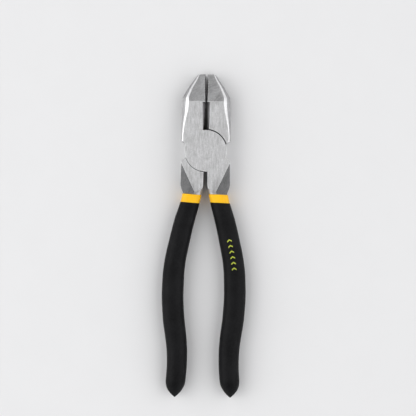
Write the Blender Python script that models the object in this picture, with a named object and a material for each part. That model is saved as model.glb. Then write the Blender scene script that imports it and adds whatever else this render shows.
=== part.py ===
# Lineman pliers: two forged halves on a flush rivet, with double-dipped handles.
# The tool lies on its back face at z = 0, jaws towards +Y, pivot on the Z axis.
# Each half is drawn closed, in its own frame: pivot at the origin, mid-plane at z = 0,
# jaw on the -X side and handle on the +X side. The second half is the first turned half
# a turn about Y.

import math

import bmesh
import bpy
from mathutils import Matrix

MM = 0.001

# Head
HEAD_THICKNESS = 13.5 * MM
JAW_LENGTH = 53.0 * MM
REST_OPENING = math.radians(2.0)
JAW_CLEARANCE = 0.04 * MM
# Fall of the sloped-off jaw edge for each unit across it
EDGE_SLOPE = 0.6
# How far blanks stand proud of a face until it is ground flat
FACE_OVERCUT = 1.0 * MM

# Jaw outline: distance back from the tip, half-width of the side, half-width of the face
JAW_OUTLINE = (
    (0.0 * MM, 4.98 * MM, 4.10 * MM),
    (4.0 * MM, 8.15 * MM, 5.90 * MM),
    (8.1 * MM, 11.10 * MM, 8.30 * MM),
    (12.3 * MM, 13.75 * MM, 10.20 * MM),
    (16.4 * MM, 16.10 * MM, 11.60 * MM),
    (18.6 * MM, 16.45 * MM, 11.65 * MM),
    (24.7 * MM, 16.60 * MM, 12.30 * MM),
    (30.3 * MM, 16.75 * MM, 13.60 * MM),
    (35.8 * MM, 16.85 * MM, 14.80 * MM),
    (42.7 * MM, 16.90 * MM, 15.70 * MM),
)
NOSE_LENGTH = 18.6 * MM
NOSE_DROP = 2.2 * MM

# Teeth
TEETH_COUNT = 6
TEETH_START = 3.35 * MM
TOOTH_PITCH = 1.66 * MM
TOOTH_MOUTH = 1.50 * MM
TOOTH_DEPTH = 0.5 * MM

# Side cutters
CUTTER_TOP = 19.2 * MM
CUTTER_WIDTH = 2.05 * MM
CUTTER_LAND = 0.7 * MM

# Lap joint
DISC_RADIUS = 14.45 * MM
JAW_RECESS_GAP = 0.7 * MM
SHANK_RECESS_GAP = 0.3 * MM
LAP_GAP = 0.3 * MM
STOP_ANGLE = math.radians(19.5)
NOTCH_FLARE = math.radians(36.0)

# Rivet
RIVET_RADIUS = 4.5 * MM
RIVET_HEAD_RADIUS = 5.6 * MM
RIVET_HEAD_HEIGHT = 1.6 * MM
RIVET_CLEARANCE = 0.08 * MM

# Shank
SHANK_WIDTH = 15.9 * MM
SLOT_HALF_WIDTH = 1.0 * MM
SHANK_LENGTH = 30.2 * MM
SHANK_CROWN = 1.6 * MM
SHANK_BLOCKINESS = 10.0
SHANK_TAPER = 7.0 * MM
FACET_START = 8.0 * MM
FACET_TURN = math.radians(26.0)
FACET_SLOPE = math.radians(16.0)

# Handle, from the dip line to its end. Blockiness is 2 for an ellipse and more for an oblong.
HANDLE_LENGTH = 141.3 * MM
GRIP_WIDTH = 15.1 * MM
GRIP_THICKNESS = 13.2 * MM
NECK_WIDTH = 13.3 * MM
NECK_THICKNESS = 12.8 * MM
GRIP_BLOCKINESS = 2.45
NECK_BLOCKINESS = 3.65
END_ROUNDING = 13.0 * MM
END_POWER = 2.5

# Handle bow: share of the handle length, distance of the centreline from the long axis
HANDLE_BOW = (
    (0.000, 8.60 * MM),
    (0.040, 9.75 * MM),
    (0.080, 11.20 * MM),
    (0.125, 13.00 * MM),
    (0.222, 16.00 * MM),
    (0.340, 19.00 * MM),
    (0.399, 19.70 * MM),
    (0.486, 19.90 * MM),
    (0.604, 18.80 * MM),
    (0.721, 16.40 * MM),
    (0.780, 15.60 * MM),
    (0.839, 15.40 * MM),
    (0.898, 15.75 * MM),
    (0.956, 16.35 * MM),
    (1.000, 16.30 * MM),
)
# Fullness of the grip: share of the handle length, share of the swell from neck to grip
GRIP_SWELL = (
    (0.00, 0.25),
    (0.05, 0.00),
    (0.13, 0.35),
    (0.28, 0.66),
    (0.47, 1.00),
    (0.62, 0.97),
    (0.72, 0.72),
    (0.82, 0.42),
    (0.92, 0.25),
    (1.00, 0.20),
)

# Dip coats
BAND_HEIGHT = 5.6 * MM
DIP_TILT = math.radians(3.0)
COAT_GAP = 0.3 * MM
BLACK_WALL = 1.1 * MM
YELLOW_WALL = 0.8 * MM
SHOULDER_INSET = 1.4 * MM
SHOULDER_LENGTH = 8.0 * MM
BLACK_END = 4.5 * MM
YELLOW_END = 1.6 * MM

# Round-off
DISC_SEGMENTS = 128
RIVET_SEGMENTS = 64
SKIN_POINTS = 36
CORE_POINTS = 24
SKIN_RINGS = 24
CORE_RINGS = 15
SHOULDER_RINGS = 5
SHANK_RINGS = 14
BAND_RINGS = 10
END_RINGS = 8

HALF_THICKNESS = HEAD_THICKNESS / 2
SHANK_CENTRE = SLOT_HALF_WIDTH + SHANK_WIDTH / 2
TANG_INSET = BLACK_WALL + COAT_GAP + YELLOW_WALL + COAT_GAP
YELLOW_INSET = BLACK_WALL + COAT_GAP
REACH = 4 * HEAD_THICKNESS


def lerp(a, b, t):
    return a + (b - a) * t


def smoothstep(t):
    t = min(1.0, max(0.0, t))
    return t * t * (3 - 2 * t)


def smooth_table(table, at):
    # Cubic through the rows of a table, flat where neighbouring rows turn back.
    if at <= table[0][0]:
        return table[0][1]
    if at >= table[-1][0]:
        return table[-1][1]
    rows = len(table)
    i = max(k for k in range(rows - 1) if table[k][0] <= at)
    slopes = []
    for k in (i, i + 1):
        if k in (0, rows - 1):
            j = min(k, rows - 2)
            slopes.append((table[j + 1][1] - table[j][1]) / (table[j + 1][0] - table[j][0]))
            continue
        before = (table[k][1] - table[k - 1][1]) / (table[k][0] - table[k - 1][0])
        after = (table[k + 1][1] - table[k][1]) / (table[k + 1][0] - table[k][0])
        slopes.append(0.0 if before * after <= 0 else 2 * before * after / (before + after))
    span = table[i + 1][0] - table[i][0]
    t = (at - table[i][0]) / span
    h00 = 2 * t**3 - 3 * t**2 + 1
    h10 = t**3 - 2 * t**2 + t
    h01 = -2 * t**3 + 3 * t**2
    h11 = t**3 - t**2
    ends = h00 * table[i][1] + h01 * table[i + 1][1]
    return ends + span * (h10 * slopes[0] + h11 * slopes[1])


# Scene helpers


def clear_scene():
    for obj in list(bpy.data.objects):
        bpy.data.objects.remove(obj, do_unlink=True)


def new_collection(name):
    collection = bpy.data.collections.new(name)
    bpy.context.scene.collection.children.link(collection)
    return collection


def new_object(name, bm, collection):
    bmesh.ops.recalc_face_normals(bm, faces=bm.faces)
    mesh = bpy.data.meshes.new(name)
    bm.to_mesh(mesh)
    bm.free()
    obj = bpy.data.objects.new(name, mesh)
    collection.objects.link(obj)
    return obj


def new_operand(name, bm):
    obj = new_object(name, bm, shop)
    obj.hide_render = True
    obj.display_type = "WIRE"
    return obj


def join_or_cut(obj, operand, operation):
    # The operand rides with the piece that it shapes.
    operand.parent = obj
    modifier = obj.modifiers.new(operand.name, "BOOLEAN")
    modifier.operation = operation
    modifier.solver = "EXACT"
    modifier.object = operand


def join(obj, *operands):
    for operand in operands:
        join_or_cut(obj, operand, "UNION")


def cut(obj, *operands):
    for operand in operands:
        join_or_cut(obj, operand, "DIFFERENCE")


def shade(obj, angle):
    obj.data.shade_smooth()
    obj.data.set_sharp_from_angle(angle=angle)


# Shape helpers


def box_mesh(size, matrix):
    bm = bmesh.new()
    bmesh.ops.create_cube(bm, size=1.0)
    bmesh.ops.scale(bm, vec=size, verts=bm.verts)
    bmesh.ops.transform(bm, matrix=matrix, verts=bm.verts)
    return bm


def cylinder_mesh(radius, low, high, segments):
    bm = bmesh.new()
    middle = Matrix.Translation((0, 0, (low + high) / 2))
    bmesh.ops.create_cone(
        bm,
        cap_ends=True,
        segments=segments,
        radius1=radius,
        radius2=radius,
        depth=high - low,
        matrix=middle,
    )
    return bm


def prism_mesh(outline, direction):
    # A flat outline pushed along a direction, both ends filled.
    bm = bmesh.new()
    face = bm.faces.new([bm.verts.new(point) for point in outline])
    pushed = bmesh.ops.extrude_face_region(bm, geom=[face])
    moved = [v for v in pushed["geom"] if isinstance(v, bmesh.types.BMVert)]
    bmesh.ops.translate(bm, vec=direction, verts=moved)
    return bm


def loft_mesh(sections):
    # Skins a run of sections with the same number of points; a single point closes an end.
    bm = bmesh.new()
    rings = [[bm.verts.new(point) for point in section] for section in sections]
    for ring, following in zip(rings, rings[1:]):
        count = max(len(ring), len(following))
        for k in range(count):
            n = (k + 1) % count
            corners = []
            for vert in (
                ring[k % len(ring)],
                ring[n % len(ring)],
                following[n % len(following)],
                following[k % len(following)],
            ):
                if vert not in corners:
                    corners.append(vert)
            bm.faces.new(corners)
    for ring in (rings[0], rings[-1]):
        if len(ring) > 2:
            bm.faces.new(ring)
    return bm


# Jaw


def nose_half_thickness(from_tip):
    share = max(0.0, 1 - from_tip / NOSE_LENGTH)
    return HALF_THICKNESS - NOSE_DROP * share


def jaw_section(y, side, face, half_thickness):
    # Half an oblong with its outer corners sloped off, standing proud of the finished faces.
    proud = half_thickness + FACE_OVERCUT
    shoulder = half_thickness - EDGE_SLOPE * (side - face)
    inner_face = face - FACE_OVERCUT / EDGE_SLOPE
    corners = (
        (JAW_CLEARANCE, proud),
        (inner_face, proud),
        (side, shoulder),
        (side, -shoulder),
        (inner_face, -proud),
        (JAW_CLEARANCE, -proud),
    )
    return [(-x, y, z) for x, z in corners]


def jaw_blank(name):
    sections = []
    for from_tip, side, face in JAW_OUTLINE:
        half = nose_half_thickness(from_tip)
        sections.append(jaw_section(JAW_LENGTH - from_tip, side, face, half))
    _, side, face = JAW_OUTLINE[-1]
    sections.append(jaw_section(0.0, side, face, HALF_THICKNESS))
    return new_operand(name, loft_mesh(sections))


def notch_cutter(name, side):
    # The stop edge of one side notch; side is -1 for the jaw and +1 for the shank.
    inner_x = DISC_RADIUS * math.cos(STOP_ANGLE)
    inner_y = DISC_RADIUS * math.sin(STOP_ANGLE)
    near = DISC_RADIUS / 2
    far = 2 * DISC_RADIUS
    outline = [
        (near, inner_y + (near - inner_x) * math.tan(NOTCH_FLARE)),
        (far, inner_y + (far - inner_x) * math.tan(NOTCH_FLARE)),
        (far, -far),
        (near, -far),
    ]
    placed = [(side * x, -side * y, -REACH) for x, y in outline]
    return new_operand(name, prism_mesh(placed, (0, 0, 2 * REACH)))


def nose_cutter(name, face):
    # Slopes the nose down to the tip on one face; face is +1 for front, -1 for back.
    top = HEAD_THICKNESS
    root = JAW_LENGTH - NOSE_LENGTH
    run_out = NOSE_LENGTH / 2
    tip = JAW_LENGTH + run_out
    drop = NOSE_DROP * (1 + run_out / NOSE_LENGTH)
    outline = [
        (-REACH, root, face * HALF_THICKNESS),
        (-REACH, tip, face * (HALF_THICKNESS - drop)),
        (-REACH, tip, face * top),
        (-REACH, root, face * top),
    ]
    return new_operand(name, prism_mesh(outline, (2 * REACH, 0, 0)))


def side_cutter_bevel(name, face):
    # The slope from one face of the jaw in to the cutting edge, which keeps a narrow land.
    top = JAW_LENGTH - CUTTER_TOP
    bottom = DISC_RADIUS + JAW_CLEARANCE
    slope = (HALF_THICKNESS - CUTTER_LAND / 2) / CUTTER_WIDTH
    over = FACE_OVERCUT
    edge = (-JAW_CLEARANCE, CUTTER_LAND / 2)
    outline = [
        (edge[0] - CUTTER_WIDTH - over / slope, bottom, face * (HALF_THICKNESS + over)),
        (edge[0] + over / slope, bottom, face * (edge[1] - over)),
        (edge[0] + over, bottom, face * (HALF_THICKNESS + over)),
    ]
    return new_operand(name, prism_mesh(outline, (0, top - bottom, 0)))


def tooth_cutter(name, number):
    # A V across the gripping face, carried on past it so that the cut is clean.
    middle = JAW_LENGTH - TEETH_START - TOOTH_MOUTH / 2 - number * TOOTH_PITCH
    over = 2 * JAW_CLEARANCE
    half = TOOTH_MOUTH / 2 * (1 + over / TOOTH_DEPTH)
    outline = [
        (over - JAW_CLEARANCE, middle - half, -REACH),
        (over - JAW_CLEARANCE, middle + half, -REACH),
        (-JAW_CLEARANCE - TOOTH_DEPTH, middle, -REACH),
    ]
    return new_operand(name, prism_mesh(outline, (0, 0, 2 * REACH)))


# Lap joint and rivet


def lap_cutter(name, radius, side):
    # Room in the back of this half for the other half's disc: side is +1 on the jaw's side
    # of the pivot and -1 on the shank's. The two sides overlap a little on the pivot line.
    bm = cylinder_mesh(radius, -REACH, LAP_GAP / 2, DISC_SEGMENTS)
    bmesh.ops.bisect_plane(
        bm,
        geom=bm.verts[:] + bm.edges[:] + bm.faces[:],
        plane_co=(0, -side * JAW_CLEARANCE, 0),
        plane_no=(0, -side, 0),
        clear_outer=True,
    )
    bmesh.ops.holes_fill(bm, edges=[e for e in bm.edges if e.is_boundary])
    return new_operand(name, bm)


def face_cutter(name, face):
    # Grinds one face of the head flat.
    size = (2 * REACH, 8 * REACH, HEAD_THICKNESS)
    place = Matrix.Translation((0, 0, face * (HALF_THICKNESS + HEAD_THICKNESS / 2)))
    return new_operand(name, box_mesh(size, place))


def rivet_profile(clearance, overrun):
    # Half-section of the rivet, top to bottom down its outer side; the heads keep flaring
    # through any overrun past the ground faces.
    end = HALF_THICKNESS + overrun
    neck = HALF_THICKNESS - RIVET_HEAD_HEIGHT
    grow = (RIVET_HEAD_RADIUS - RIVET_RADIUS) / RIVET_HEAD_HEIGHT
    rim = RIVET_HEAD_RADIUS + clearance + grow * overrun
    shaft = RIVET_RADIUS + clearance
    return [(0, end), (rim, end), (shaft, neck), (shaft, -neck), (rim, -end), (0, -end)]


def turned_mesh(profile, segments):
    # A profile spun about the Z axis, its two flat ends left as one face each.
    bm = bmesh.new()
    verts = [bm.verts.new((x, 0, z)) for x, z in profile]
    edges = [bm.edges.new(pair) for pair in zip(verts, verts[1:])]
    bmesh.ops.spin(
        bm,
        geom=verts + edges,
        cent=(0, 0, 0),
        axis=(0, 0, 1),
        angle=math.tau,
        steps=segments,
        use_merge=True,
    )
    bmesh.ops.remove_doubles(bm, verts=bm.verts, dist=1e-6)
    hubs = [v for v in bm.verts if math.hypot(v.co.x, v.co.y) < 1e-6]
    bmesh.ops.dissolve_verts(bm, verts=hubs)
    return bm


def rivet_bore(name):
    profile = rivet_profile(RIVET_CLEARANCE, FACE_OVERCUT)
    return new_operand(name, turned_mesh(profile, RIVET_SEGMENTS))


# Shank and handle


def handle_point(along):
    # Centre of the handle, along metres below the dip line; above it, of the shank.
    y = -SHANK_LENGTH - along
    if along >= 0:
        return smooth_table(HANDLE_BOW, along / HANDLE_LENGTH), y
    join_x = HANDLE_BOW[0][1]
    return lerp(join_x, SHANK_CENTRE, smoothstep(-along / SHANK_TAPER)), y


def handle_turn(along):
    # Angle of the section from square across, easing in below the dip line.
    step = HANDLE_LENGTH / 200
    x0, y0 = handle_point(along - step)
    x1, y1 = handle_point(along + step)
    ease = smoothstep(along / BAND_HEIGHT / 2)
    return math.atan2(x1 - x0, y0 - y1) * ease


def handle_size(along):
    # Half-width, half-thickness and blockiness of the outside.
    if along < 0:
        up = smoothstep(-along / SHANK_TAPER)
        neck = handle_size(0.0)
        width = lerp(neck[0], SHANK_WIDTH / 2, up)
        thick = lerp(neck[1], HALF_THICKNESS + SHANK_CROWN, up)
        blocky = lerp(neck[2], SHANK_BLOCKINESS, up)
        return width, thick, blocky
    share = along / HANDLE_LENGTH
    swell = smooth_table(GRIP_SWELL, share)
    width = lerp(NECK_WIDTH, GRIP_WIDTH, swell) / 2
    thick = lerp(NECK_THICKNESS, GRIP_THICKNESS, swell) / 2
    blocky = lerp(NECK_BLOCKINESS, GRIP_BLOCKINESS, smoothstep(along / SHOULDER_LENGTH))
    return width, thick, blocky


def handle_section(along, inset, shrink, points):
    x, y = handle_point(along)
    turn = handle_turn(along)
    width, thick, blocky = handle_size(along)
    section = []
    for k in range(points):
        angle = math.tau * (k + 0.5) / points
        c = math.cos(angle)
        s = math.sin(angle)
        across = math.copysign(abs(c) ** (2 / blocky), c) * (width - inset) * shrink
        up = math.copysign(abs(s) ** (2 / blocky), s) * (thick - inset) * shrink
        section.append((x + across * math.cos(turn), y + across * math.sin(turn), up))
    return section


def ring_places(start, finish, rings):
    # Close rings over the shoulder, at the same places on every skin, then even spacing.
    close = [SHOULDER_LENGTH * k / SHOULDER_RINGS for k in range(SHOULDER_RINGS)]
    even = [lerp(SHOULDER_LENGTH, finish, k / rings) for k in range(rings + 1)]
    return [start] + [place for place in close if place > start] + even


def handle_skin(name, start, inset_at, end_gap, points, rings):
    # The handle's outside drawn in by an inset, from start down to a rounded end.
    finish = HANDLE_LENGTH - end_gap
    rounding = finish - END_ROUNDING
    sections = []
    for along in ring_places(start, rounding, rings):
        sections.append(handle_section(along, inset_at(along), 1.0, points))
    for k in range(1, END_RINGS):
        share = math.sin(math.pi / 2 * k / END_RINGS)
        along = rounding + END_ROUNDING * share
        shrink = 1 - share**END_POWER
        sections.append(handle_section(along, inset_at(along), shrink, points))
    x, y = handle_point(finish)
    sections.append([(x, y, 0.0)])
    return new_operand(name, loft_mesh(sections))


def no_inset(along):
    return 0.0


def tang_inset(along):
    return lerp(SHOULDER_INSET, TANG_INSET, smoothstep(along / SHOULDER_LENGTH))


def cavity_inset(along):
    return tang_inset(along) - COAT_GAP


def sleeve_inset(along):
    return YELLOW_INSET


def black_cavity_inset(along):
    return BLACK_WALL


def dip_plane_cutter(name, along, tilt, keep_above):
    # A block whose flat side crosses the handle at a dip line, level but for the tilt.
    x, y = handle_point(along)
    size = (2 * REACH, 4 * HANDLE_LENGTH, 2 * REACH)
    towards = -1 if keep_above else 1
    place = (
        Matrix.Translation((x, y, 0))
        @ Matrix.Rotation(tilt, 4, "Z")
        @ Matrix.Translation((0, towards * 2 * HANDLE_LENGTH, 0))
    )
    return new_operand(name, box_mesh(size, place))


def facet_cutter(name, face):
    # The sloping forged facet that leaves the ground face of the shank a narrowing V.
    corner_x = 2 * SHANK_CENTRE - SLOT_HALF_WIDTH
    size = (REACH, 2 * SHANK_LENGTH, REACH)
    place = (
        Matrix.Translation((corner_x, -FACET_START, face * HALF_THICKNESS))
        @ Matrix.Rotation(-FACET_TURN, 4, "Z")
        @ Matrix.Rotation(face * FACET_SLOPE, 4, "Y")
        @ Matrix.Translation((REACH / 2, -SHANK_LENGTH / 2, face * REACH / 2))
    )
    return new_operand(name, box_mesh(size, place))


def shank_blank(name, tilt):
    # Shank above the dip line, with the slimmer tang running on inside the coats.
    start = -SHANK_LENGTH + DISC_RADIUS / 4
    sections = [handle_section(start, 0.0, 1.0, SKIN_POINTS)]
    for k in range(SHANK_RINGS + 1):
        along = lerp(-SHANK_TAPER, SHANK_TAPER, k / SHANK_RINGS)
        sections.append(handle_section(along, 0.0, 1.0, SKIN_POINTS))
    blank = new_operand(name, loft_mesh(sections))
    cut(blank, dip_plane_cutter(name + "_dip_line", 0.0, tilt, keep_above=True))
    cut(blank, notch_cutter(name + "_notch", 1))
    cut(blank, facet_cutter(name + "_facet_front", 1), facet_cutter(name + "_facet_back", -1))
    end_gap = BLACK_END + COAT_GAP + YELLOW_END + COAT_GAP
    overlap = SHANK_TAPER / 4
    tang = handle_skin(
        name + "_tang", -overlap, tang_inset, end_gap, CORE_POINTS, CORE_RINGS
    )
    join(blank, tang)
    return blank


# The pieces


def build_half(name, tilt):
    proud = HALF_THICKNESS + FACE_OVERCUT / 2
    disc = cylinder_mesh(DISC_RADIUS, -proud, proud, DISC_SEGMENTS)
    half = new_object(name, disc, pliers)
    jaw = jaw_blank(name + "_jaw")
    cut(jaw, notch_cutter(name + "_jaw_notch", -1))
    join(half, jaw, shank_blank(name + "_shank", tilt))
    cut(half, face_cutter(name + "_front_face", 1), face_cutter(name + "_back_face", -1))
    cut(half, nose_cutter(name + "_nose_front", 1), nose_cutter(name + "_nose_back", -1))
    cut(half, lap_cutter(name + "_jaw_recess", DISC_RADIUS + JAW_RECESS_GAP, 1))
    cut(half, lap_cutter(name + "_shank_recess", DISC_RADIUS + SHANK_RECESS_GAP, -1))
    cut(half, side_cutter_bevel(name + "_bevel_front", 1))
    cut(half, side_cutter_bevel(name + "_bevel_back", -1))
    for number in range(TEETH_COUNT):
        cut(half, tooth_cutter(f"{name}_tooth_{number}", number))
    cut(half, rivet_bore(name + "_bore"))
    half.data.materials.append(ground_steel(name + "_steel"))
    shade(half, math.radians(30))
    return half


def build_rivet(name):
    rivet = new_object(name, turned_mesh(rivet_profile(0.0, 0.0), RIVET_SEGMENTS), pliers)
    rivet.data.materials.append(rivet_steel(name + "_steel"))
    shade(rivet, math.radians(30))
    return rivet


def build_underdip(name, tilt):
    # First coat: a band that shows at the dip line and a sleeve that runs on inside.
    sleeve = handle_skin(
        name + "_sleeve",
        BAND_HEIGHT / 2,
        sleeve_inset,
        BLACK_END + COAT_GAP,
        CORE_POINTS,
        CORE_RINGS,
    )
    sections = []
    for k in range(BAND_RINGS + 1):
        along = lerp(-BAND_HEIGHT / 2, 2 * BAND_HEIGHT, k / BAND_RINGS)
        sections.append(handle_section(along, 0.0, 1.0, SKIN_POINTS))
    band = new_object(name, loft_mesh(sections), pliers)
    cut(band, dip_plane_cutter(name + "_band_end", BAND_HEIGHT, tilt, keep_above=True))
    join(band, sleeve)
    cavity = handle_skin(
        name + "_cavity",
        -BAND_HEIGHT,
        cavity_inset,
        BLACK_END + COAT_GAP + YELLOW_END,
        CORE_POINTS,
        CORE_RINGS,
    )
    cut(band, cavity)
    cut(band, dip_plane_cutter(name + "_dip_line", COAT_GAP, tilt, keep_above=False))
    band.data.materials.append(yellow_vinyl(name + "_vinyl"))
    shade(band, math.radians(40))
    return band


def build_grip(name, tilt):
    # Second coat: thick and soft, closed over the end of the handle.
    skin = handle_skin(
        name + "_skin", BAND_HEIGHT / 2, no_inset, 0.0, SKIN_POINTS, SKIN_RINGS
    )
    shop.objects.unlink(skin)
    pliers.objects.link(skin)
    skin.name = name
    skin.hide_render = False
    skin.display_type = "TEXTURED"
    cavity = handle_skin(
        name + "_cavity", 0.0, black_cavity_inset, BLACK_END, CORE_POINTS, CORE_RINGS
    )
    cut(skin, cavity)
    top = BAND_HEIGHT + COAT_GAP
    cut(skin, dip_plane_cutter(name + "_top", top, tilt, keep_above=False))
    skin.data.materials.append(black_vinyl(name + "_vinyl"))
    shade(skin, math.radians(40))
    return skin


# Materials


def plain_material(name, colour, roughness, metallic):
    material = bpy.data.materials.new(name)
    material.use_nodes = True
    shader = material.node_tree.nodes["Principled BSDF"]
    shader.inputs["Base Color"].default_value = (*colour, 1.0)
    shader.inputs["Roughness"].default_value = roughness
    shader.inputs["Metallic"].default_value = metallic
    return material


def ground_steel(name):
    return plain_material(name, (0.55, 0.55, 0.56), 0.32, 1.0)


def rivet_steel(name):
    return plain_material(name, (0.50, 0.50, 0.51), 0.30, 1.0)


def yellow_vinyl(name):
    return plain_material(name, (0.92, 0.50, 0.01), 0.38, 0.0)


def black_vinyl(name):
    return plain_material(name, (0.014, 0.014, 0.016), 0.34, 0.0)


# Assembly


def lever_pivot(name, turn):
    # The frame of one half: on the joint axis, at mid-thickness.
    empty = bpy.data.objects.new(name, None)
    empty.location = (0, 0, HALF_THICKNESS)
    empty.rotation_euler = (0, 0, turn)
    pliers.objects.link(empty)
    return empty


def place(obj, parent, flipped):
    obj.parent = parent
    if flipped:
        obj.rotation_euler = (0, math.pi, 0)


clear_scene()
pliers = new_collection("lineman_pliers")
shop = new_collection("cutters")

front_lever = lever_pivot("front_lever_pivot", REST_OPENING / 2)
rear_lever = lever_pivot("rear_lever_pivot", -REST_OPENING / 2)

place(build_half("front_half", -DIP_TILT), front_lever, False)
place(build_underdip("right_underdip", -DIP_TILT), front_lever, False)
place(build_grip("right_grip", -DIP_TILT), front_lever, False)

place(build_half("rear_half", DIP_TILT), rear_lever, True)
place(build_underdip("left_underdip", DIP_TILT), rear_lever, True)
place(build_grip("left_grip", DIP_TILT), rear_lever, True)
place(build_rivet("pivot_rivet"), rear_lever, False)
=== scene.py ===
import math

import bmesh
import bpy
from mathutils import Matrix, Vector


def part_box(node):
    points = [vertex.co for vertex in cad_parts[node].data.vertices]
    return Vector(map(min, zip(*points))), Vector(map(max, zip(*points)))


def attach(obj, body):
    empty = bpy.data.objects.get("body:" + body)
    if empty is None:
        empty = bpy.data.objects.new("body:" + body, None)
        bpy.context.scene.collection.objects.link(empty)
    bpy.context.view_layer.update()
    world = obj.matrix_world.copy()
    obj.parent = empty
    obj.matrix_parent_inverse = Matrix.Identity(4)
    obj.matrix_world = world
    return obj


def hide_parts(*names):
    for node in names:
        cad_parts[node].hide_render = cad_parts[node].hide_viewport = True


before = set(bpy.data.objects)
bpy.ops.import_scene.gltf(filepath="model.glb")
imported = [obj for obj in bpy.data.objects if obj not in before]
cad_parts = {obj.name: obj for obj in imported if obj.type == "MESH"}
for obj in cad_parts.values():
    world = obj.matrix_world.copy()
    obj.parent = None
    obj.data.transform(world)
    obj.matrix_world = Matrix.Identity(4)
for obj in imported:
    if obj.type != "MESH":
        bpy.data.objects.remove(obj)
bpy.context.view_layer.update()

# Lineman pliers: finished looks for the two forgings, the rivet and the dipped handles.
# Every piece is drawn closed in the frame of one half (pivot at the origin, mid-plane at
# z = 0, jaw on the left and handle on the right), then carried to its lever.

mm = 0.001

halfLow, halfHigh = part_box("front_half")
headThickness = halfHigh.z - halfLow.z
restOpening = math.radians(2.0)             # between the jaws as the tool lies
jawLength = halfHigh.y / math.cos(restOpening / 2)
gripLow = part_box("right_grip")[0].y         # the lowest point of the right handle

frontPlace = Matrix.Translation((0, 0, headThickness / 2)) @ Matrix.Rotation(restOpening / 2, 4, "Z")
rearPlace = (
    Matrix.Translation((0, 0, headThickness / 2))
    @ Matrix.Rotation(-restOpening / 2, 4, "Z")
    @ Matrix.Rotation(math.pi, 4, "Y")
)
# body, forging, side of its handle, place, and which way its dip line leans
levers = (
    {"body": "front_lever", "half": "front_half", "side": "right", "place": frontPlace, "tilt": -1},
    {"body": "rear_lever", "half": "rear_half", "side": "left", "place": rearPlace, "tilt": 1},
)


def mix(a, b, t):
    return a + (b - a) * t


def ease(t):
    t = min(1.0, max(0.0, t))
    return t * t * (3 - 2 * t)


def along(rows, at):
    # a smooth curve through a few rows of (place, value)
    if at <= rows[0][0]:
        return rows[0][1]
    if at >= rows[-1][0]:
        return rows[-1][1]
    i = max(k for k in range(len(rows) - 1) if rows[k][0] <= at)

    def chord(k):
        return (rows[k + 1][1] - rows[k][1]) / (rows[k + 1][0] - rows[k][0])

    def slope(k):
        if k == 0 or k == len(rows) - 1:
            return chord(min(k, len(rows) - 2))
        a, b = chord(k - 1), chord(k)
        return 0.0 if a * b <= 0 else 2 * a * b / (a + b)

    span = rows[i + 1][0] - rows[i][0]
    t = (at - rows[i][0]) / span
    ends = mix(rows[i][1], rows[i + 1][1], t * t * (3 - 2 * t))
    return ends + span * t * (1 - t) * ((1 - t) * slope(i) - t * slope(i + 1))


def meshObject(name, bm):
    bmesh.ops.recalc_face_normals(bm, faces=bm.faces)
    mesh = bpy.data.meshes.new(name)
    bm.to_mesh(mesh)
    bm.free()
    obj = bpy.data.objects.new(name, mesh)
    bpy.context.scene.collection.objects.link(obj)
    return obj


def baked(obj, name=None):
    # the object with its modifiers worked in, as a plain mesh
    bpy.context.view_layer.update()
    graph = bpy.context.evaluated_depsgraph_get()
    mesh = bpy.data.meshes.new_from_object(obj.evaluated_get(graph))
    obj.modifiers.clear()
    obj.data = mesh
    obj.name = name or obj.name
    mesh.name = obj.name
    return obj


def discard(*objects):
    for obj in objects:
        bpy.data.objects.remove(obj, do_unlink=True)


def combine(obj, operands, operation):
    for operand in operands:
        step = obj.modifiers.new(operand.name, "BOOLEAN")
        step.operation = operation
        step.solver = "EXACT"
        step.object = operand
    baked(obj)
    discard(*operands)


def loft(sections):
    # skins sections of equal point count; a single point closes an end
    bm = bmesh.new()
    rings = [[bm.verts.new(p) for p in section] for section in sections]
    for ring, after in zip(rings, rings[1:]):
        count = max(len(ring), len(after))
        for k in range(count):
            n = (k + 1) % count
            corners = []
            for vert in (ring[k % len(ring)], ring[n % len(ring)],
                         after[n % len(after)], after[k % len(after)]):
                if vert not in corners:
                    corners.append(vert)
            bm.faces.new(corners)
    for ring in (rings[0], rings[-1]):
        if len(ring) > 2:
            bm.faces.new(ring)
    return bm


def prism(outline, push):
    bm = bmesh.new()
    face = bm.faces.new([bm.verts.new(p) for p in outline])
    pushed = bmesh.ops.extrude_face_region(bm, geom=[face])["geom"]
    bmesh.ops.translate(bm, vec=push, verts=[v for v in pushed if isinstance(v, bmesh.types.BMVert)])
    return bm


def block(size, place):
    bm = bmesh.new()
    bmesh.ops.create_cube(bm, size=1.0)
    bmesh.ops.scale(bm, vec=size, verts=bm.verts)
    bmesh.ops.transform(bm, matrix=place, verts=bm.verts)
    return bm


def carry(obj, place):
    # moves the mesh, not the object, to its place on the tool
    obj.data.transform(place)
    obj.data.update()
    return obj


def finishPiece(obj, lever, slot, *nodes):
    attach(obj, lever)
    if nodes:
        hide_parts(*nodes)
    return obj


# shader effects that several finishes share
def nodeSocket(tree, name, kind, value=None, out=False):
    socket = tree.interface.new_socket(name=name, in_out="OUTPUT" if out else "INPUT", socket_type=kind)
    if value is not None:
        socket.default_value = value
    return socket


def shaderGroup(name, inputs, outputs):
    tree = bpy.data.node_groups.new(name, "ShaderNodeTree")
    for label, kind, value in inputs:
        nodeSocket(tree, label, kind, value)
    for label, kind in outputs:
        nodeSocket(tree, label, kind, out=True)
    return tree, tree.nodes.new("NodeGroupInput").outputs, tree.nodes.new("NodeGroupOutput").inputs


def maths(tree, operation, a, b=None):
    node = tree.nodes.new("ShaderNodeMath")
    node.operation = operation
    for socket, value in zip(node.inputs, (a, b)):
        if hasattr(value, "is_output"):
            tree.links.new(value, socket)
        elif value is not None:
            socket.default_value = value
    return node.outputs[0]


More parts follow.
